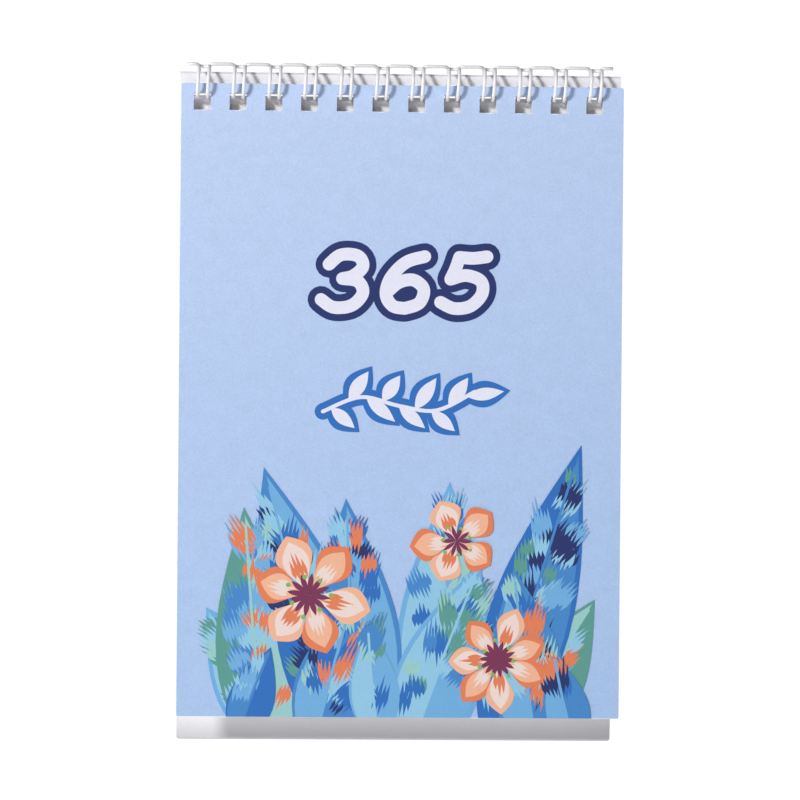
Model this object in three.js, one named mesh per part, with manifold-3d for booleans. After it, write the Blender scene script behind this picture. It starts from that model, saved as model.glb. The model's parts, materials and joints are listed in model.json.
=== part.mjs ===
// A tent-shaped desk calendar with a twin-loop wire binding along its top.
// One folded board makes the stand: a front panel, a flat base and a rear panel.
// Both upper edges of the board, twelve month leaves and a front cover hang on one bent wire comb.
// The leaves and the cover hang as one pack that stands off the front panel towards its foot.
// The cover turns about the centre line of the wire rings.
// Units are millimetres, +Z is up, -Y is the front, and the origin is the middle of the base's underside.
import * as THREE from "three";
import { mergeVertices } from "three/addons/utils/BufferGeometryUtils.js";
import Module from "manifold-3d";

const wasm = await Module();
wasm.setup();

const rad = THREE.MathUtils.degToRad;

// Everything made of card or paper is cut to one width
const calendarWidth = 105;

// Stand board
const boardThickness = 0.45;
const frontPanelLength = 159.5;
const frontLean = rad(10.9);
const rearLean = rad(12.5);
const creaseInnerRadius = 0.4;
const creaseCornerRadius = 1;
const scoreWidth = 0.8;
const scoreDepth = 0.12;
const boardMargin = 2.1;

// Paper sheets
const sheetHeight = 150;
const sheetCornerRadius = 0.5;
const sheetMargin = 2.3;
const sheetSideShift = 0.4;
const leafCount = 12;
const leafThickness = 0.15;
const sheetStandOff = rad(5.6);
const fanAngle = rad(0.6);
const boundBand = 9;
const coverThickness = 0.3;

// Punched holes, three to the inch
const holePitch = 25.4 / 3;
const holeCount = Math.floor(calendarWidth / holePitch);
const holeWidth = 4;
const holeHeight = 4;
const holeRowShift = -0.6;

// Wire comb
const wireDiameter = 0.8;
const ringRadius = 3.7;
const loopSpacing = 2.4;
const rootBendRadius = 1.3;
const spineRadius = 4.8;
const spineAngle = rad(-157);
const spiralEnd = rad(-95);
const tipAngle = rad(188);
const tailLength = 4.2;
const wireSides = 6;
const loopSteps = 20;
const bendSteps = 3;
const tipSteps = 5;

// Clearances between pieces that touch
const sheetClearance = 0.25;
const wireClearance = 0.2;

// How far the ring axis lies in front of the front panel's middle plane
const axisAheadOfBoard = 1.3;

// How far the rear panel's upper edge lies above the point of that panel that is nearest to the axis
const rearEdgeRise = 1.3;

const creaseMidRadius = creaseInnerRadius + boardThickness / 2;
const creaseOuterRadius = creaseInnerRadius + boardThickness;
const ringInnerRadius = ringRadius - wireDiameter / 2;
const ringOuterRadius = ringRadius + wireDiameter / 2;

// The wires come through the front panel just above the lower edges of its holes.
const boardFace = axisAheadOfBoard - boardThickness / 2;
const wireBelowAxis = Math.sqrt(ringOuterRadius ** 2 - boardFace ** 2);
const axisBelowBoardEdge = boardMargin + holeHeight - wireClearance - wireBelowAxis;

// A direction in the side view, as [y, z], turned towards the back by an angle from straight up.
const upAt = (lean) => new THREE.Vector2(Math.sin(lean), Math.cos(lean));
const backAt = (lean) => new THREE.Vector2(Math.cos(lean), -Math.sin(lean));
const step = (from, direction, distance) => from.clone().addScaledVector(direction, distance);

// Side view of the stand, first worked out from the centre of the front bend
const frontUp = upAt(frontLean);
const frontBack = backAt(frontLean);
const rearUp = upAt(-rearLean);
const rearOut = backAt(-rearLean);
const frontBend = new THREE.Vector2(0, creaseOuterRadius);
const frontEdge = step(step(frontBend, frontBack, -creaseMidRadius), frontUp, frontPanelLength);
const ringAxis = step(step(frontEdge, frontUp, -axisBelowBoardEdge), frontBack, -axisAheadOfBoard);

// The rear panel clears the front panel at its upper edge, where the two come closest.
const apexAngle = frontLean + rearLean;
const frontPanelRear = axisAheadOfBoard + boardThickness / 2;
const rearEdgeReach = frontPanelRear + sheetClearance + rearEdgeRise * Math.sin(apexAngle);
const rearPanelDistance = rearEdgeReach / Math.cos(apexAngle) + boardThickness / 2;
const rearEdge = step(step(ringAxis, rearOut, rearPanelDistance), rearUp, rearEdgeRise);
const overRearBend = step(rearEdge, rearOut, -creaseMidRadius);
const rearPanelLength = (overRearBend.y - creaseOuterRadius) / rearUp.y;
const rearBend = step(overRearBend, rearUp, -rearPanelLength);

// The origin is the middle of the base.
const baseMiddle = rearBend.x / 2;
for (const point of [frontBend, frontEdge, ringAxis, rearEdge, rearBend]) point.x -= baseMiddle;

// The sheets' own frame: a point at (across, down, behind) from the ring axis, behind being square to the cover.
const coverLean = frontLean + sheetStandOff;
const coverUp = upAt(coverLean);
const coverBack = backAt(coverLean);

// How far behind the ring axis each layer lies
const stackThickness = leafCount * leafThickness;
const stackRear = boardFace / Math.cos(sheetStandOff) - sheetClearance;
const stackFront = stackRear - stackThickness;
const coverFront = stackFront - sheetClearance - coverThickness;
const holeTop = Math.sqrt(ringInnerRadius ** 2 - coverFront ** 2) - wireClearance;
const sheetTop = holeTop - sheetMargin;

const holeCentres = Array.from(
  { length: holeCount },
  (_, i) => holeRowShift + (i - (holeCount - 1) / 2) * holePitch,
);

const paperWhite = new THREE.MeshStandardMaterial({ color: 0xf2f2f7, roughness: 0.85, metalness: 0 });
const leafWhite = new THREE.MeshStandardMaterial({ color: 0xf7f4ee, roughness: 0.9, metalness: 0 });
const coverBlue = new THREE.MeshStandardMaterial({ color: 0xb6cff2, roughness: 0.7, metalness: 0 });
const wireWhite = new THREE.MeshStandardMaterial({ color: 0xf4f4f2, roughness: 0.35, metalness: 0 });

// A closed geometry as a solid that can be joined and cut.
function solidOf(geometry) {
  const bare = geometry.clone();
  bare.deleteAttribute("normal");
  bare.deleteAttribute("uv");
  const merged = mergeVertices(bare, 1e-4);
  return new wasm.Manifold(
    new wasm.Mesh({
      numProp: 3,
      vertProperties: new Float32Array(merged.attributes.position.array),
      triVerts: new Uint32Array(merged.index.array),
    }),
  );
}

function geometryOf(solid) {
  const { numProp, vertProperties, triVerts } = solid.getMesh();
  const geometry = new THREE.BufferGeometry();
  const vertices = new THREE.InterleavedBuffer(vertProperties, numProp);
  geometry.setAttribute("position", new THREE.InterleavedBufferAttribute(vertices, 3, 0));
  geometry.setIndex(new THREE.BufferAttribute(triVerts, 1));
  const flat = geometry.toNonIndexed();
  flat.computeVertexNormals();
  return flat;
}

// Extrudes a side view, drawn as (y, z), to a width centred on x.
function extrudeAcross(shape, width, curveSegments) {
  const geometry = new THREE.ExtrudeGeometry(shape, { depth: width, bevelEnabled: false, curveSegments });
  geometry.translate(0, 0, -width / 2);
  return geometry.applyMatrix4(
    new THREE.Matrix4().makeBasis(
      new THREE.Vector3(0, 1, 0),
      new THREE.Vector3(0, 0, 1),
      new THREE.Vector3(1, 0, 0),
    ),
  );
}

// The matrix of a flat panel's frame: x across, y up the panel, z out of its front face.
function panelMatrix(origin, up, back) {
  return new THREE.Matrix4()
    .makeBasis(
      new THREE.Vector3(1, 0, 0),
      new THREE.Vector3(0, up.x, up.y),
      new THREE.Vector3(0, -back.x, -back.y),
    )
    .setPosition(0, origin.x, origin.y);
}

// Side view of the folded board: up the outside of the front panel, and round again along the inside.
function boardProfile() {
  const half = boardThickness / 2;
  const shape = new THREE.Shape();
  const frontOutside = step(frontEdge, frontBack, -half);
  const frontInside = step(frontEdge, frontBack, half);
  const rearInside = step(rearEdge, rearOut, -half);
  const rearOutside = step(rearEdge, rearOut, half);
  shape.moveTo(frontInside.x, frontInside.y);
  shape.lineTo(frontOutside.x, frontOutside.y);
  shape.absarc(frontBend.x, frontBend.y, creaseOuterRadius, Math.PI - frontLean, Math.PI * 1.5, false);
  shape.absarc(rearBend.x, rearBend.y, creaseOuterRadius, Math.PI * 1.5, Math.PI * 2 + rearLean, false);
  shape.lineTo(rearOutside.x, rearOutside.y);
  shape.lineTo(rearInside.x, rearInside.y);
  shape.absarc(rearBend.x, rearBend.y, creaseInnerRadius, Math.PI * 2 + rearLean, Math.PI * 1.5, true);
  shape.lineTo(scoreWidth / 2, boardThickness);
  shape.lineTo(0, boardThickness - scoreDepth);
  shape.lineTo(-scoreWidth / 2, boardThickness);
  shape.absarc(frontBend.x, frontBend.y, creaseInnerRadius, Math.PI * 1.5, Math.PI - frontLean, true);
  shape.closePath();
  return shape;
}

// A row of square punches through a flat piece, with their upper edges a margin below the piece's own edge.
function punchRow(edge, up, back, margin, depth) {
  const panel = panelMatrix(step(edge, up, -(margin + holeHeight / 2)), up, back);
  return holeCentres
    .map((x) => new THREE.BoxGeometry(holeWidth, holeHeight, depth).translate(x, 0, 0))
    .map((punch) => solidOf(punch.applyMatrix4(panel)))
    .reduce((row, punch) => row.add(punch));
}

// Front view of the board with its crease ends rounded, as a block that the board is trimmed to.
function creaseTrim() {
  const half = calendarWidth / 2;
  const top = frontEdge.y + rearEdge.y;
  const depth = rearBend.x * 4;
  const shape = new THREE.Shape();
  const r = creaseCornerRadius;
  shape.moveTo(half, top);
  shape.lineTo(-half, top);
  shape.absarc(-half + r, r, r, Math.PI, Math.PI * 1.5, false);
  shape.absarc(half - r, r, r, Math.PI * 1.5, Math.PI * 2, false);
  shape.closePath();
  const block = new THREE.ExtrudeGeometry(shape, { depth, bevelEnabled: false, curveSegments: 4 });
  return solidOf(block.translate(0, 0, -depth / 2).rotateX(Math.PI / 2));
}

function makeStandBoard() {
  const folded = solidOf(extrudeAcross(boardProfile(), calendarWidth, 4));
  const punchDepth = boardThickness * 3;
  const punched = folded
    .subtract(punchRow(frontEdge, frontUp, frontBack, boardMargin, punchDepth))
    .subtract(punchRow(rearEdge, rearUp, rearOut, boardMargin, punchDepth));
  return geometryOf(punched.intersect(creaseTrim()));
}

// The outline that the cover and every leaf are cut to, in the sheets' frame.
function sheetOutline() {
  const left = sheetSideShift - calendarWidth / 2;
  const right = sheetSideShift + calendarWidth / 2;
  const top = -sheetTop;
  const bottom = top - sheetHeight;
  const r = sheetCornerRadius;
  const shape = new THREE.Shape();
  shape.moveTo(left + r, top);
  shape.absarc(left + r, top - r, r, Math.PI / 2, Math.PI, false);
  shape.absarc(left + r, bottom + r, r, Math.PI, Math.PI * 1.5, false);
  shape.absarc(right - r, bottom + r, r, Math.PI * 1.5, Math.PI * 2, false);
  shape.absarc(right - r, top - r, r, 0, Math.PI / 2, false);
  shape.closePath();
  return shape;
}

// A punched slab of the sheet outline, from one depth behind the ring axis to another.
function punchedSlab(front, rear) {
  const depth = rear - front;
  const slab = new THREE.ExtrudeGeometry(sheetOutline(), { depth, bevelEnabled: false, curveSegments: 3 });
  slab.translate(0, 0, -rear).applyMatrix4(panelMatrix(ringAxis, coverUp, coverBack));
  const middleOfEdge = step(step(ringAxis, coverUp, -sheetTop), coverBack, (front + rear) / 2);
  return solidOf(slab).subtract(punchRow(middleOfEdge, coverUp, coverBack, sheetMargin, depth + 1));
}

function makeFrontCover() {
  return geometryOf(punchedSlab(coverFront, coverFront + coverThickness));
}

// Side view of the leaves: pressed together along the bound band, and fanned out below it.
function leavesProfile() {
  const bottom = sheetTop + sheetHeight;
  const at = (down, behind) => step(step(ringAxis, coverUp, -down), coverBack, behind);
  const faceOf = (edge, down) => stackFront + edge * leafThickness + down * Math.tan((fanAngle * edge) / leafCount);
  const points = [at(sheetTop, faceOf(0, 0)), at(bottom, faceOf(0, 0))];
  const gap = bottom * Math.tan(fanAngle / leafCount);
  for (let leaf = 1; leaf < leafCount; leaf++) {
    points.push(at(bottom, faceOf(leaf, bottom) - gap / 2));
    points.push(at(boundBand, faceOf(leaf, boundBand)));
    points.push(at(bottom, faceOf(leaf, bottom) + gap / 2));
  }
  points.push(at(bottom, faceOf(leafCount, bottom)));
  points.push(at(sheetTop, faceOf(leafCount, sheetTop)));
  return new THREE.Shape(points);
}

function makeMonthLeaves() {
  const fan = solidOf(extrudeAcross(leavesProfile(), calendarWidth + 4 * Math.abs(sheetSideShift), 1));
  const rear = stackRear + (sheetTop + sheetHeight) * Math.tan(fanAngle) + 1;
  return geometryOf(fan.intersect(punchedSlab(stackFront - 1, rear)));
}

// The wire's distance from the ring axis: a circle all round, from which the spine stands out at the back.
// Angles are 0 straight down and grow towards the front.
function wireRadiusAt(angle) {
  const share = Math.max(0, (spiralEnd - angle) / (spiralEnd - spineAngle));
  return ringRadius + (spineRadius - ringRadius) * share * share * (3 - 2 * share);
}

// The comb's centre line as stations [x, angle]: along the spine, round a loop to its tip, and back.
function wireStations() {
  const stations = [];
  const halfLoop = loopSpacing / 2;
  const bendAngle = rootBendRadius / spineRadius;
  const loopStart = spineAngle + bendAngle;
  const tipHalf = halfLoop / ringRadius;
  const tipStart = tipAngle - tipHalf;
  const loop = (x, from, to) => {
    for (let i = 1; i < loopSteps; i++) stations.push([x, from + ((to - from) * i) / loopSteps]);
  };
  const rootBend = (x, side) => {
    for (let i = 0; i <= bendSteps; i++) {
      const turn = ((side < 0 ? i : bendSteps - i) / bendSteps) * (Math.PI / 2);
      const across = side * rootBendRadius * (1 - Math.sin(turn));
      stations.push([x + across, loopStart - bendAngle * Math.cos(turn)]);
    }
  };
  stations.push([holeCentres[0] - tailLength, spineAngle]);
  for (const x of holeCentres) {
    rootBend(x - halfLoop, -1);
    loop(x - halfLoop, loopStart, tipStart);
    for (let i = 0; i <= tipSteps; i++) {
      const turn = (i / tipSteps) * Math.PI;
      stations.push([x - halfLoop * Math.cos(turn), tipStart + tipHalf * Math.sin(turn)]);
    }
    loop(x + halfLoop, tipStart, loopStart);
    rootBend(x + halfLoop, 1);
  }
  stations.push([holeCentres[holeCount - 1] + tailLength, spineAngle]);
  return stations;
}

// The same centre line as a curve whose parameter moves evenly from station to station.
class CombLine extends THREE.Curve {
  constructor(stations) {
    super();
    const down = coverUp.clone().negate();
    this.points = stations.map(([x, angle]) => {
      const radius = wireRadiusAt(angle);
      const place = step(step(ringAxis, down, radius * Math.cos(angle)), coverBack, -radius * Math.sin(angle));
      return new THREE.Vector3(x, place.x, place.y);
    });
  }
  getUtoTmapping(u) {
    return u;
  }
  getPoint(t, target = new THREE.Vector3()) {
    const place = t * (this.points.length - 1);
    const from = Math.min(Math.floor(place), this.points.length - 2);
    return target.lerpVectors(this.points[from], this.points[from + 1], place - from);
  }
}

function makeWireComb() {
  const line = new CombLine(wireStations());
  const section = new THREE.Shape().absarc(0, 0, wireDiameter / 2, 0, Math.PI * 2);
  return new THREE.ExtrudeGeometry(section, {
    steps: line.points.length - 1,
    extrudePath: line,
    curveSegments: wireSides / 2,
    bevelEnabled: false,
  });
}

function addMesh(group, name, geometry, material) {
  const mesh = new THREE.Mesh(geometry, material);
  mesh.name = name;
  group.add(mesh);
}

const calendar = new THREE.Group();
addMesh(calendar, "stand_board", makeStandBoard(), paperWhite);
addMesh(calendar, "month_leaves", makeMonthLeaves(), leafWhite);
addMesh(calendar, "front_cover", makeFrontCover(), coverBlue);
addMesh(calendar, "wire_comb", makeWireComb(), wireWhite);

export default calendar;
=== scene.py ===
"""Looks of a tent-shaped desk calendar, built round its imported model.

The printed cover, the separate month leaves and the coated wire are modelled here.
Sizes are in millimetres until they reach a mesh, which is in metres.
"""

import json
import math
import random

import bpy
from mathutils import Matrix, Vector


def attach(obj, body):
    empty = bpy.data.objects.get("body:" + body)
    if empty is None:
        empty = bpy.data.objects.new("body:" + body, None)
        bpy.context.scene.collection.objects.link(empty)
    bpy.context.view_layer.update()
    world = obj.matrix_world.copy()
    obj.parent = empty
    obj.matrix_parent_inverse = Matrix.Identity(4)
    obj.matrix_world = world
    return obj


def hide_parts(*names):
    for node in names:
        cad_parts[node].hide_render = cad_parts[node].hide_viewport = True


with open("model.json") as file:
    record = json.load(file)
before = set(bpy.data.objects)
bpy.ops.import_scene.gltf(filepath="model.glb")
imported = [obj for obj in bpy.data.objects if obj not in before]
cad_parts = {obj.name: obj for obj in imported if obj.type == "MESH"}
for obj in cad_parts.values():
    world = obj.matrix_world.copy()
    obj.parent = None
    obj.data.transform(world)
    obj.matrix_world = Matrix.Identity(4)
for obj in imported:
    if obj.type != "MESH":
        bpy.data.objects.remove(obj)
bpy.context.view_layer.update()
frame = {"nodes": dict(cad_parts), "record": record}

MM = 0.001

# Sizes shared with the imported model
RING_AXIS = Vector(frame["record"]["behaviour"]["joints"][0]["pos_m"]) / MM
FRONT_PANEL_LEAN = math.radians(10.9)
STAND_OFF = math.radians(5.6)
FAN_ANGLE = math.radians(0.6)
AXIS_AHEAD_OF_BOARD = 1.3
BOARD_THICKNESS = 0.45
SHEET_CLEARANCE = 0.25
SHEET_WIDTH = 105
SHEET_HEIGHT = 150
SHEET_MARGIN = 2.3
SHEET_SIDE_SHIFT = 0.4
SHEET_CORNER = 0.5
COVER_THICKNESS = 0.3
LEAF_COUNT = 12
LEAF_THICKNESS = 0.15
HOLE_COUNT = 12
HOLE_PITCH = 25.4 / 3
HOLE_SIZE = 4
HOLE_ROW_SHIFT = -0.6
WIRE_DIAMETER = 0.8
WIRE_CLEARANCE = 0.2
RING_RADIUS = 3.7
LOOP_SPACING = 2.4
ROOT_BEND = 1.3
SPINE_RADIUS = 4.8
SPINE_ANGLE = math.radians(-157)
SPIRAL_END = math.radians(-95)
TIP_ANGLE = math.radians(188)
TAIL_LENGTH = 4.2

# How the comb has shifted in its holes, and how far its loops lean to either side of upright
COMB_SHIFT = 0.22
LOOP_LEAN = 0.22

# Width of the white cut edge along the foot of the cover
CUT_EDGE = 0.12

# How far behind the ring axis each layer of the pack lies
COVER_LEAN = FRONT_PANEL_LEAN + STAND_OFF
BOARD_FACE = AXIS_AHEAD_OF_BOARD - BOARD_THICKNESS / 2
STACK_REAR = BOARD_FACE / math.cos(STAND_OFF) - SHEET_CLEARANCE
STACK_FRONT = STACK_REAR - LEAF_COUNT * LEAF_THICKNESS
COVER_FACE = STACK_FRONT - SHEET_CLEARANCE - COVER_THICKNESS

# How far down the cover from the ring axis the holes and the sheets begin
RING_INSIDE = RING_RADIUS - WIRE_DIAMETER / 2
HOLE_TOP = math.sqrt(RING_INSIDE**2 - COVER_FACE**2) - WIRE_CLEARANCE
SHEET_TOP = HOLE_TOP - SHEET_MARGIN
SHEET_BOTTOM = SHEET_TOP + SHEET_HEIGHT

DOWN = Vector((0, -math.sin(COVER_LEAN), -math.cos(COVER_LEAN)))
BEHIND = Vector((0, math.cos(COVER_LEAN), -math.sin(COVER_LEAN)))
HOLE_CENTRES = [
    HOLE_ROW_SHIFT + (i - (HOLE_COUNT - 1) / 2) * HOLE_PITCH for i in range(HOLE_COUNT)
]


def on_sheet(x, down, behind):
    """A point in metres: across the sheets, down the cover from the ring axis, and behind that axis."""
    return (RING_AXIS + Vector((x, 0, 0)) + down * DOWN + behind * BEHIND) * MM


# Camera


def add_camera():
    """Looks square at the cover from a little to its left, turned slightly as in the photograph."""
    distance = 840
    focal_length = 159.4
    side_turn = math.radians(-2)
    roll = math.radians(0.5)
    aim_left, aim_up = 0.12, 0.38
    target = on_sheet(SHEET_SIDE_SHIFT - aim_left, SHEET_TOP + SHEET_HEIGHT / 2 - aim_up, COVER_FACE)
    facing = Vector((math.sin(side_turn), 0, 0)) - math.cos(side_turn) * BEHIND
    eye = target + facing * distance * MM
    right = (-DOWN).cross(facing).normalized()
    up = facing.cross(right)
    rolled_up = math.cos(roll) * up - math.sin(roll) * right
    rolled_right = rolled_up.cross(facing)
    data = bpy.data.cameras.new("camera")
    data.lens = focal_length
    data.sensor_width = 36
    camera = bpy.data.objects.new("camera", data)
    turn = Matrix((rolled_right, rolled_up, facing)).transposed()
    camera.matrix_world = Matrix.Translation(eye) @ turn.to_4x4()
    bpy.context.scene.collection.objects.link(camera)
    bpy.context.scene.camera = camera


# Finishes


class Value:
    """A socket of a finish, whose arithmetic adds Math nodes."""

    def __init__(self, finish, socket):
        self.finish = finish
        self.socket = socket

    def _math(self, operation, first, second):
        return self.finish.node("ShaderNodeMath", {"operation": operation}, {0: first, 1: second})

    def __add__(self, other):
        return self._math("ADD", self, other)

    def __radd__(self, other):
        return self._math("ADD", other, self)

    def __sub__(self, other):
        return self._math("SUBTRACT", self, other)

    def __rsub__(self, other):
        return self._math("SUBTRACT", other, self)

    def __mul__(self, other):
        return self._math("MULTIPLY", self, other)

    def __rmul__(self, other):
        return self._math("MULTIPLY", other, self)

    def __lt__(self, other):
        return self._math("LESS_THAN", self, other)


class Finish:
    """A material, with one method that adds any node."""

    def __init__(self, name, **sockets):
        self.material = bpy.data.materials.new(name)
        self.material.use_nodes = True
        self.tree = self.material.node_tree
        self.shader = self.tree.nodes["Principled BSDF"]
        for socket, value in sockets.items():
            self.feed(self.shader.inputs[socket.replace("_", " ").title()], value)

    def feed(self, socket, value):
        if isinstance(value, Value):
            self.tree.links.new(value.socket, socket)
        else:
            socket.default_value = value

    def node(self, kind, settings, inputs, output=0):
        made = self.tree.nodes.new(kind)
        for key, value in settings.items():
            setattr(made, key, value)
        for key, value in inputs.items():
            self.feed(made.inputs[key], value)
        return Value(self, made.outputs[output])

    def position(self):
        return self.node("ShaderNodeTexCoord", {}, {}, "Object")

    def along(self, direction, origin):
        """How far a point lies from an origin along a direction, in millimetres."""
        offset = self.node(
            "ShaderNodeVectorMath", {"operation": "SUBTRACT"}, {0: self.position(), 1: origin}
        )
        product = self.node(
            "ShaderNodeVectorMath", {"operation": "DOT_PRODUCT"}, {0: offset, 1: direction}, "Value"
        )
        return product * (1 / MM)

    def noise(self, size, detail=2, roughness=0.5):
        """Noise from 0 to 1, whose blots are about a size in millimetres."""
        inputs = {
            "Vector": self.position(),
            "Scale": 1 / (size * MM),
            "Detail": detail,
            "Roughness": roughness,
        }
        return self.node("ShaderNodeTexNoise", {}, inputs)

    def mix(self, factor, first, second):
        inputs = {"Factor": factor, 6: first, 7: second}
        return self.node("ShaderNodeMix", {"data_type": "RGBA"}, inputs, 2)

    def clamp(self, value):
        return self.node("ShaderNodeClamp", {}, {"Value": value})

    def bump(self, height, depth, strength):
        inputs = {"Height": height, "Distance": depth * MM, "Strength": strength}
        self.feed(self.shader.inputs["Normal"], self.node("ShaderNodeBump", {}, inputs))

    def colour(self, value):
        self.feed(self.shader.inputs["Base Color"], value)


def linear(red, green, blue):
    """A linear colour from screen levels of 0 to 255."""
    levels = [c / 255 for c in (red, green, blue)]
    return tuple(c / 12.92 if c <= 0.04045 else ((c + 0.055) / 1.055) ** 2.4 for c in levels) + (1,)


def shaded(colour, share):
    """A colour made darker by a share below 1, or lighter by one above 1."""
    return tuple(c * share for c in colour[:3]) + (1,)


PAPER_WHITE = linear(249, 249, 255)
# The print blue at the cover's top, and a darker blue for its lower right, where painted shade stands for
# the key light's falloff
TOP_BLUE = linear(188, 208, 243)
PAINTED_SHADE_LOW_BLUE = linear(168, 197, 238)


def paper_mottle(finish):
    """Fine fibres over faint blots, from 0 to 1."""
    fibres = finish.noise(0.5, 3, 0.6)
    blots = finish.noise(3, 2)
    return finish.clamp(fibres * 0.75 + blots * 0.25)


def add_tooth(finish, depth=0.03):
    """The tiny bumps of uncoated paper."""
    finish.bump(finish.noise(0.35, 3, 0.65), depth, 0.35)


def paper_grain(finish, colour, depth=0.03):
    """Gives a colour the fine mottle and tooth of uncoated paper."""
    add_tooth(finish, depth)
    return finish.mix(paper_mottle(finish), shaded(colour, 0.88), shaded(colour, 1.1))


def make_board_finish():
    """White card, with painted shade that greys it towards its foot ahead of a plane that only the front
    panel passes.
    """
    finish = Finish("white board", roughness=0.8)
    painted_shade_height = 9
    front_plane = Vector((0, -29, 0)) * MM
    height = finish.along(Vector((0, 0, 1)), Vector((0, 0, 0)))
    ahead = finish.along(Vector((0, -1, 0)), front_plane)
    # Painted shade: the front panel's foot is greyed towards the floor, standing in for the shadow and
    # dimmer light it gets there
    painted_foot_shade = finish.clamp(1 - height * (1 / painted_shade_height)) * finish.clamp(ahead)
    grained = paper_grain(finish, PAPER_WHITE, 0.02)
    finish.colour(finish.mix(painted_foot_shade, grained, shaded(PAPER_WHITE, 0.6)))
    return finish.material


def make_leaf_finish():
    finish = Finish("leaf paper", roughness=0.85)
    finish.colour(paper_grain(finish, linear(247, 246, 243), 0.02))
    return finish.material


def make_wire_finish():
    finish = Finish("coated wire", roughness=0.32)
    shade = finish.noise(1.5, 2)
    finish.colour(finish.mix(shade, linear(238, 238, 240), linear(248, 248, 250)))
    finish.bump(finish.noise(0.4, 2), 0.01, 0.25)
    return finish.material


def make_cover_finish():
    """Light blue print on the face, darkened towards the lower right by painted light falloff, and white
    card on the edges and the back.
    """
    finish = Finish("cover card", roughness=0.7)
    painted_falloff_length = 170
    ink_depth = 0.02
    origin = on_sheet(0, 0, 0)
    down = finish.along(DOWN, origin)
    across = finish.along(Vector((1, 0, 0)), origin)
    # Painted light falloff: the blue darkens from the upper left towards the lower right, as the key light
    # dims across the cover
    painted_falloff = finish.clamp((down + across * 0.25) * (1 / painted_falloff_length) + 0.05)
    dark = finish.mix(painted_falloff, shaded(TOP_BLUE, 0.79), shaded(PAINTED_SHADE_LOW_BLUE, 0.79))
    light = finish.mix(painted_falloff, shaded(TOP_BLUE, 1.22), shaded(PAINTED_SHADE_LOW_BLUE, 1.22))
    print_blue = finish.mix(paper_mottle(finish), dark, light)
    on_face = finish.along(BEHIND, origin) < COVER_FACE + ink_depth
    above_cut = down < SHEET_BOTTOM - CUT_EDGE
    finish.colour(finish.mix(on_face * above_cut, PAPER_WHITE, print_blue))
    add_tooth(finish)
    return finish.material


def make_ink(name, colour):
    finish = Finish(name, roughness=0.7)
    finish.colour(paper_grain(finish, colour))
    return finish.material


# Making pieces

# Corners that lie nearer than this are merged: flat pieces are drawn in millimetres, the wire in metres
MERGE_FLAT = 1e-4
MERGE_WIRE = 1e-7


def deselect_all():
    bpy.ops.object.select_all(action="DESELECT")


def as_mesh(piece, tolerance):
    """Turns a curve object into a mesh with its doubles merged and its faces outwards."""
    deselect_all()
    piece.select_set(True)
    bpy.context.view_layer.objects.active = piece
    bpy.ops.object.convert(target="MESH")
    bpy.ops.object.mode_set(mode="EDIT")
    bpy.ops.mesh.select_all(action="SELECT")
    bpy.ops.mesh.remove_doubles(threshold=tolerance)
    bpy.ops.mesh.normals_make_consistent(inside=False)
    bpy.ops.object.mode_set(mode="OBJECT")
    return bpy.context.view_layer.objects.active


def arc(centre, radius, begin, end, steps=5):
    return [
        (centre[0] + radius * math.cos(a), centre[1] + radius * math.sin(a))
        for a in (begin + (end - begin) * i / steps for i in range(steps + 1))
    ]


def new_curve(name, splines, closed, dimensions):
    curve = bpy.data.curves.new(name, "CURVE")
    curve.dimensions = dimensions
    for points in splines:
        spline = curve.splines.new("POLY")
        spline.points.add(len(points) - 1)
        spline.use_cyclic_u = closed
        for slot, point in zip(spline.points, points):
            slot.co = (*point, 1) if len(point) == 3 else (*point, 0, 1)
    piece = bpy.data.objects.new(name, curve)
    bpy.context.scene.collection.objects.link(piece)
    return piece


def set_material(piece, material):
    piece.data.materials.clear()
    piece.data.materials.append(material)


def stand_on_sheet(piece, front, rear):
    """Moves a flat piece, drawn as (across, up the cover), on to the cover between two depths."""
    lowest = min(v.co.z for v in piece.data.vertices)
    thickness = max(v.co.z for v in piece.data.vertices) - lowest
    for vertex in piece.data.vertices:
        share = (vertex.co.z - lowest) / thickness
        vertex.co = on_sheet(vertex.co.x, -vertex.co.y, rear + (front - rear) * share)


# Wire comb


def wire_radius(angle):
    """A circle all round the ring axis, from which the spine stands out at the back."""
    share = max(0, (SPIRAL_END - angle) / (SPIRAL_END - SPINE_ANGLE))
    return RING_RADIUS + (SPINE_RADIUS - RING_RADIUS) * share * share * (3 - 2 * share)


def wire_stations():
    """Points along the comb as (x, angle), the angle growing from straight down the cover to the front."""
    stations = []
    half = LOOP_SPACING / 2
    bend = ROOT_BEND / SPINE_RADIUS
    start = SPINE_ANGLE + bend
    tip_half = half / RING_RADIUS
    tip_start = TIP_ANGLE - tip_half
    loop_steps, bend_steps, tip_steps = 48, 7, 14

    def loop(x, begin, end):
        for i in range(1, loop_steps):
            stations.append((x, begin + (end - begin) * i / loop_steps))

    def root_bend(x, side, turns):
        for i in turns:
            turn = i / bend_steps * math.pi / 2
            across = side * ROOT_BEND * (1 - math.sin(turn))
            stations.append((x + across, start - bend * math.cos(turn)))

    stations.append((HOLE_CENTRES[0] - TAIL_LENGTH, SPINE_ANGLE))
    for x in HOLE_CENTRES:
        root_bend(x - half, -1, range(bend_steps + 1))
        loop(x - half, start, tip_start)
        for i in range(tip_steps + 1):
            turn = i / tip_steps * math.pi
            stations.append((x - half * math.cos(turn), tip_start + tip_half * math.sin(turn)))
        loop(x + half, tip_start, start)
        root_bend(x + half, 1, range(bend_steps, -1, -1))
    stations.append((HOLE_CENTRES[-1] + TAIL_LENGTH, SPINE_ANGLE))
    return stations


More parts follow.
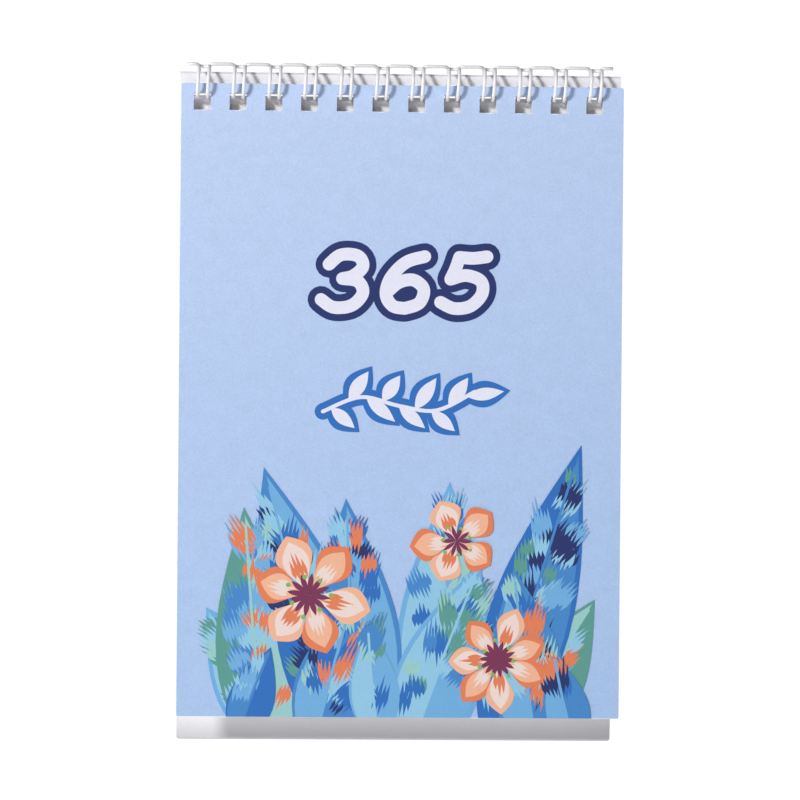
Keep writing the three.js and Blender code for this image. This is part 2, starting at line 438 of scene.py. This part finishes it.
def make_wire():
    """The comb, whose loops lean so that their tops lie to one side of their feet."""
    points = []
    for x, angle in wire_stations():
        down, ahead = wire_radius(angle) * math.cos(angle), wire_radius(angle) * math.sin(angle)
        points.append(on_sheet(x + COMB_SHIFT - LOOP_LEAN * math.cos(angle), down, -ahead))
    piece = new_curve("binding_wire", [points], False, "3D")
    piece.data.bevel_depth = WIRE_DIAMETER / 2 * MM
    piece.data.bevel_resolution = 3
    piece.data.use_fill_caps = True
    piece = as_mesh(piece, MERGE_WIRE)
    for face in piece.data.polygons:
        face.use_smooth = True
    set_material(piece, make_wire_finish())
    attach(piece, "binding")
    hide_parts("wire_comb")


# Month leaves


def sheet_outline():
    left = SHEET_SIDE_SHIFT - SHEET_WIDTH / 2 + SHEET_CORNER
    right = SHEET_SIDE_SHIFT + SHEET_WIDTH / 2 - SHEET_CORNER
    top = -SHEET_TOP - SHEET_CORNER
    bottom = -SHEET_TOP - SHEET_HEIGHT + SHEET_CORNER
    quarter = math.pi / 2
    return (
        arc((right, top), SHEET_CORNER, 0, quarter)
        + arc((left, top), SHEET_CORNER, quarter, 2 * quarter)
        + arc((left, bottom), SHEET_CORNER, 2 * quarter, 3 * quarter)
        + arc((right, bottom), SHEET_CORNER, 3 * quarter, 4 * quarter)
    )


def hole_outlines():
    half = HOLE_SIZE / 2
    return [
        [
            (x - half, -HOLE_TOP),
            (x + half, -HOLE_TOP),
            (x + half, -HOLE_TOP - HOLE_SIZE),
            (x - half, -HOLE_TOP - HOLE_SIZE),
        ]
        for x in HOLE_CENTRES
    ]


def cut_across(piece, heights):
    """Cuts a flat piece along lines across it, so that it can bend."""
    bpy.context.view_layer.objects.active = piece
    bpy.ops.object.mode_set(mode="EDIT")
    for height in heights:
        bpy.ops.mesh.select_all(action="SELECT")
        bpy.ops.mesh.bisect(plane_co=(0, height, 0), plane_no=(0, 1, 0))
    bpy.ops.object.mode_set(mode="OBJECT")


def bend_leaf(leaf, place, bow):
    """Puts a flat leaf at its place in the fan, counted from the front, with a slight bow."""
    bow_start = 8
    near_share, far_share = 0.08, 0.88
    lean = FAN_ANGLE * (place + 0.5) / LEAF_COUNT
    for vertex in leaf.data.vertices:
        down = -vertex.co.y
        bulge = bow * math.sin(math.pi * max(0, down - bow_start) / SHEET_HEIGHT)
        front = STACK_FRONT + place * LEAF_THICKNESS + math.tan(lean) * down + bulge
        share = near_share if vertex.co.z > 0 else far_share
        vertex.co = on_sheet(vertex.co.x, down * math.cos(lean), front + share * LEAF_THICKNESS)


def make_leaves():
    """Twelve separate sheets, pressed together at the wire and fanned out below it."""
    rng = random.Random(7)
    most_bow = 0.35
    flat = new_curve("month_leaf_01", [sheet_outline(), *hole_outlines()], True, "2D")
    flat.data.fill_mode = "BOTH"
    flat.data.extrude = 0.5
    flat = as_mesh(flat, MERGE_FLAT)
    cut_across(flat, range(-10, -SHEET_HEIGHT, -10))
    set_material(flat, make_leaf_finish())
    leaves = [flat]
    for i in range(1, LEAF_COUNT):
        leaf = flat.copy()
        leaf.data = flat.data.copy()
        leaf.name = f"month_leaf_{i + 1:02d}"
        bpy.context.scene.collection.objects.link(leaf)
        leaves.append(leaf)
    for i, leaf in enumerate(leaves):
        outermost = i in (0, LEAF_COUNT - 1)
        bend_leaf(leaf, i, 0 if outermost else rng.uniform(-most_bow, most_bow))
        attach(leaf, "stand")
        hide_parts("month_leaves")


# Cover print

INKS = {
    "white": linear(232, 233, 250),
    "navy": linear(23, 44, 106),
    "plum": linear(122, 44, 84),
    "deep_blue": linear(38, 110, 192),
    "blue": linear(66, 136, 204),
    "sky": linear(112, 176, 226),
    "light_blue": linear(146, 202, 232),
    "teal": linear(90, 156, 148),
    "light_teal": linear(154, 206, 204),
    "lime": linear(130, 186, 92),
    "orange": linear(230, 128, 86),
    "peach": linear(244, 184, 152),
    "cream": linear(240, 220, 214),
}


def placed(points, origin, angle):
    """Points given as (along, aside) of a direction, from an origin on the cover."""
    along = (math.cos(angle), math.sin(angle))
    return [
        (origin[0] + u * along[0] - v * along[1], origin[1] + u * along[1] + v * along[0])
        for u, v in points
    ]


def leaf_outline(root, angle, length, width, fullness=0.8, side=0, steps=14):
    """A pointed leaf, or half of one on a side of 1 or -1.

    With more fullness, its widest place lies nearer its tip.
    """
    shares = [i / steps for i in range(steps + 1)]
    edge = [(t * length, width / 2 * math.sin(math.pi * t**fullness)) for t in shares]
    if side:
        half = [(u, side * v) for u, v in edge]
        return placed(half, root, angle)
    return placed(edge + [(u, -v) for u, v in reversed(edge[1:-1])], root, angle)


def brush_outline(centre, angle, length, width, rng):
    """A dry brush mark, ragged at both ends."""
    teeth = max(3, round(width / 0.9))
    far, near = [], []
    for i in range(2 * teeth + 1):
        aside = (i / (2 * teeth) - 0.5) * width
        crown = 1 - 0.6 * (i / teeth - 1) ** 2
        tip = i % 2
        far.append((length * crown * rng.uniform(0.05 + 0.25 * tip, 0.2 + 0.4 * tip), aside))
        near.append((-length * crown * rng.uniform(0.02 + 0.15 * tip, 0.12 + 0.33 * tip), aside))
    return placed(far + near[::-1], centre, angle)


def smooth_line(points, steps):
    """A smooth line through a few points."""
    ends = [points[0], *points, points[-1]]
    line = []
    for before, start, end, after in zip(ends, ends[1:], ends[2:], ends[3:]):
        for i in range(steps):
            t = i / steps
            weights = (
                (-t + 2 * t**2 - t**3) / 2,
                (2 - 5 * t**2 + 3 * t**3) / 2,
                (t + 4 * t**2 - 3 * t**3) / 2,
                (t**3 - t**2) / 2,
            )
            four = (before, start, end, after)
            line.append(tuple(sum(w * p[k] for w, p in zip(weights, four)) for k in (0, 1)))
    return line + [points[-1]]


def stroke_outline(line, half_width):
    """A short pen stroke with round ends."""
    headings = [
        math.atan2(after[1] - before[1], after[0] - before[0])
        for before, after in zip([line[0], *line[:-1]], [*line[1:], line[-1]])
    ]
    left, right = [], []
    for (x, y), heading in zip(line, headings):
        aside = (-half_width * math.sin(heading), half_width * math.cos(heading))
        left.append((x + aside[0], y + aside[1]))
        right.append((x - aside[0], y - aside[1]))
    first, last = headings[0], headings[-1]
    quarter = math.pi / 2
    end_cap = arc(line[-1], half_width, last + quarter, last - quarter, 8)[1:-1]
    start_cap = arc(line[0], half_width, first - quarter, first - 3 * quarter, 8)[1:-1]
    return left + end_cap + right[::-1] + start_cap


def above_edge(outline, edge=CUT_EDGE):
    """The part of an outline that lies above the cover's bottom edge."""
    kept = []
    for (x, y), (next_x, next_y) in zip(outline, outline[1:] + outline[:1]):
        if y >= edge:
            kept.append((x, y))
        if (y >= edge) != (next_y >= edge):
            kept.append((x + (next_x - x) * (edge - y) / (next_y - y), edge))
    return kept


class Print:
    """Flat shapes on the cover's face. Each stands out by a hair more than the one before it."""

    # How far the first shape stands out, each later one beyond it, and all reach into the card
    first_rise = 0.004
    next_rise = 0.0004
    depth_in_card = 0.05

    def __init__(self):
        self.shapes = {}
        self.count = 0

    def add(self, ink, *outlines):
        """Adds outlines given as (across, up from the cover's bottom edge)."""
        for kept in map(above_edge, outlines):
            if len(kept) > 2:
                self.count += 1
                self.shapes.setdefault(ink, []).append((self.count, kept))

    def stroke(self, ink, points, half_width, run=7, steps=7):
        """Adds a pen stroke along a smooth line, as short strokes that overlap."""
        line = smooth_line(points, steps)
        starts = range(0, len(line) - 1, run)
        self.add(ink, *(stroke_outline(line[i : i + run + 1], half_width) for i in starts))

    def solid(self, name, rank, outline):
        flat = new_curve(name, [[(x, up - SHEET_BOTTOM) for x, up in outline]], True, "2D")
        flat.data.fill_mode = "BOTH"
        flat.data.extrude = 0.5
        flat = as_mesh(flat, MERGE_FLAT)
        rise = self.first_rise + self.next_rise * rank
        stand_on_sheet(flat, COVER_FACE - rise, COVER_FACE + self.depth_in_card)
        return flat

    def finish(self):
        for ink, shapes in self.shapes.items():
            solids = [self.solid(f"print_{ink}", rank, outline) for rank, outline in shapes]
            deselect_all()
            for solid in solids:
                solid.select_set(True)
            bpy.context.view_layer.objects.active = solids[0]
            bpy.ops.object.join()
            set_material(solids[0], make_ink(ink, INKS[ink]))
            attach(solids[0], "cover")


def print_numerals(page):
    """Three plain numerals, white on a navy edge."""
    three = [
        [(0.4, 10.4), (2.4, 12.6), (5.6, 12.4), (6.9, 10), (5.4, 7.8), (3.4, 7.1)],
        [(3.4, 7.1), (6.4, 6.5), (7.7, 3.8), (6, 0.9), (2.6, 0.4), (0, 2.2)],
    ]
    six = [
        [(6.8, 12.4), (3.4, 11), (1, 7.4), (0.6, 3.6), (2.2, 0.9), (4.6, 0.3)],
        [(4.6, 0.3), (7.2, 1.6), (7.6, 4.8), (5.4, 6.9), (2.8, 6.4), (1, 4.4)],
    ]
    five = [
        [(7.4, 12.5), (4.8, 12.1), (2.2, 12.3)],
        [(2.2, 12.3), (1.8, 9.6), (1.2, 7.2)],
        [(1.2, 7.2), (4, 8.1), (7, 6.8), (7.6, 3.8), (5.8, 1), (2.8, 0.4), (0, 1.8)],
    ]
    foot, wide, tall, slant = 96.8, 1.25, 1.02, 0.16
    for ink, half_width, run, steps in (("navy", 3.2, 1, 4), ("white", 1.5, 7, 7)):
        for glyph, left in ((three, -19), (six, -4.6), (five, 9.4)):
            for line in glyph:
                leaning = [(left + wide * x + slant * y, foot + tall * y) for x, y in line]
                page.stroke(ink, leaning, half_width, run, steps)


def print_sprig(page):
    """A leafy twig, white on a blue edge."""
    stem = [(-18, 72.5), (-9, 76), (0, 74), (9, 73), (18, 77.5)]
    line = smooth_line(stem, 7)
    for ink, extra in (("deep_blue", 1.5), ("white", 0)):
        page.stroke(ink, stem, 0.45 + extra)
        for i in range(9):
            root = line[2 + 3 * i]
            side = 1 if i % 2 else -1
            angle = math.radians(8 + side * (48 if i < 8 else 0))
            length, width = 7.4 + (i % 3) * 0.8, 3 + (i % 2) * 0.4
            back = (root[0] - extra * math.cos(angle), root[1] - extra * math.sin(angle))
            page.add(ink, leaf_outline(back, angle, length + 2 * extra, width + 2.2 * extra, 0.9))


def print_leaf(page, root, degrees, length, width, inks, rng):
    """A broad leaf with one lighter half, a vein, and brush marks in other inks."""
    angle = math.radians(degrees)
    edge_gap = 0.1
    area_of_mark = 32
    page.add(inks[0], leaf_outline(root, angle, length, width))
    page.add(inks[1], leaf_outline(root, angle, length * 0.97, width * 0.9, side=rng.choice((-1, 1))))
    for _ in range(int(length * width / area_of_mark)):
        t = rng.uniform(0.15, 0.9)
        aside = rng.uniform(-0.34, 0.34) * width * math.sin(math.pi * t**0.8)
        centre = placed([(t * length, aside)], root, angle)[0]
        lean = angle + math.copysign(0.35, aside) + rng.uniform(-0.2, 0.2)
        mark = brush_outline(centre, lean, rng.uniform(7, 14), rng.uniform(2.5, 6), rng)
        if min(y for _, y in mark) > edge_gap:
            page.add(rng.choice(inks[2:]), mark)
    tip = placed([(length * 0.93, 0)], root, angle)[0]
    middle = placed([(length * 0.5, width * 0.03)], root, angle)[0]
    page.stroke(inks[1], [root, middle, tip], 0.3)


def print_blossom(page, centre, size, petals, rng):
    """An open flower with ragged streaks in its petals."""
    turn = rng.uniform(0, 1)
    for i in range(petals):
        angle = turn + (i + rng.uniform(-0.12, 0.12)) * 2 * math.pi / petals
        length = size * rng.uniform(0.88, 1.08)
        width = size * 3.7 / petals
        page.add(("orange", "peach")[i % 2], leaf_outline(centre, angle, length, width, 1.7))
        page.add(("peach", "cream")[i % 2], leaf_outline(centre, angle, length * 0.9, width * 0.7, 1.5))
        root = placed([(size * 0.42, 0)], centre, angle)[0]
        page.add(("cream", "orange")[i % 2], brush_outline(root, angle, size * 0.62, width * 0.42, rng))
    for i in range(petals * 2):
        angle = turn + i * math.pi / petals
        page.add("plum", leaf_outline(centre, angle, size * 0.36, size * 0.09, 1.2))
    for i in range(7):
        angle = turn * 2 + i * 2 * math.pi / 7
        dot = placed([(size * (0.3 + 0.07 * (i % 2)), 0)], centre, angle)[0]
        page.add("lime", arc(dot, size * 0.04, 0, 2 * math.pi, 8)[:-1])


def print_garden(page):
    """Leaves and three blossoms growing from the cover's bottom edge."""
    rng = random.Random(5)
    cool = ("blue", "sky", "light_blue", "deep_blue", "deep_blue", "light_teal", "navy", "orange")
    pale = ("sky", "light_blue", "blue", "deep_blue", "teal", "light_blue", "light_teal")
    green = ("teal", "light_teal", "sky", "blue", "light_blue", "orange")
    deep = ("deep_blue", "blue", "sky", "navy", "light_blue", "teal")
    tall_leaves = [
        ((-24, -8), 122, 40, 19, pale),
        ((26, -8), 60, 42, 18, green),
        ((-12, -10), 106, 72, 23, cool),
        ((10, -10), 88, 66, 22, pale),
        ((22, -10), 74, 78, 20, deep),
        ((-8, -10), 94, 62, 22, cool),
        ((-30, -12), 96, 62, 20, green),
        ((-4, -12), 118, 56, 20, deep),
        ((34, -10), 98, 46, 18, cool),
        ((2, -12), 70, 52, 20, pale),
        ((-20, -10), 76, 40, 17, cool),
    ]
    blossoms = [((-21, 29), 14.5, 6), ((14, 42), 10.5, 5), ((24, 14), 12.5, 7)]
    low_leaves = [
        ((-4, -6), 96, 28, 12, pale),
        ((-38, -6), 70, 24, 11, deep),
        ((43, -8), 104, 24, 11, cool),
    ]
    for leaf in tall_leaves:
        print_leaf(page, *leaf, rng)
    for blossom in blossoms:
        print_blossom(page, *blossom, rng)
    for leaf in low_leaves:
        print_leaf(page, *leaf, rng)


def print_burrs(page):
    """White bits of torn card along the lower edges of the punched holes."""
    rng = random.Random(3)
    hole_bottom = SHEET_HEIGHT - SHEET_MARGIN - HOLE_SIZE
    for x in HOLE_CENTRES:
        for _ in range(2):
            place = (x + rng.uniform(-1.6, 1.6), hole_bottom - 0.15)
            page.add("white", brush_outline(place, math.pi / 2, 0.38, rng.uniform(0.6, 1.8), rng))
        corner = (x + HOLE_SIZE / 2 + 0.12, hole_bottom + rng.uniform(0.2, 1))
        page.add("white", brush_outline(corner, 0, 0.3, rng.uniform(0.5, 1), rng))


def make_print():
    page = Print()
    print_burrs(page)
    print_numerals(page)
    print_sprig(page)
    print_garden(page)
    page.finish()


# Stage


def add_floor():
    bpy.ops.mesh.primitive_plane_add(size=8)
    floor = bpy.context.object
    floor.name = "floor"
    finish = Finish("floor", roughness=0.9)
    finish.colour((0.15, 0.15, 0.15, 1))
    finish.shader.inputs["Specular IOR Level"].default_value = 0
    finish.shader.inputs["Emission Color"].default_value = (1, 1, 1, 1)
    finish.shader.inputs["Emission Strength"].default_value = 1
    set_material(floor, finish.material)


def add_lights():
    """A soft key from the upper left in front, and a pale room."""
    aim = on_sheet(0, 60, COVER_FACE)
    leftwards, upwards = 0.78, 0.56
    towards_key = (Vector((-leftwards, 0, 0)) - upwards * DOWN - BEHIND).normalized()
    distance = 1.6
    key = bpy.data.lights.new("key", "AREA")
    key.shape = "DISK"
    key.size = 0.28
    key.energy = 19.1
    key.color = (1, 0.99, 0.98)
    lamp = bpy.data.objects.new("key", key)
    lamp.matrix_world = Matrix.Translation(aim + towards_key * distance) @ (
        towards_key.to_track_quat("Z", "Y").to_matrix().to_4x4()
    )
    bpy.context.scene.collection.objects.link(lamp)
    world = bpy.data.worlds.new("room")
    world.use_nodes = True
    sky = world.node_tree.nodes["Background"]
    sky.inputs["Color"].default_value = (0.96, 0.98, 1, 1)
    sky.inputs["Strength"].default_value = 0.09
    bpy.context.scene.world = world


add_camera()
add_floor()
add_lights()
set_material(frame["nodes"]["stand_board"], make_board_finish())
set_material(frame["nodes"]["front_cover"], make_cover_finish())
make_wire()
make_leaves()
make_print()

bpy.context.scene.view_settings.view_transform = "Standard"
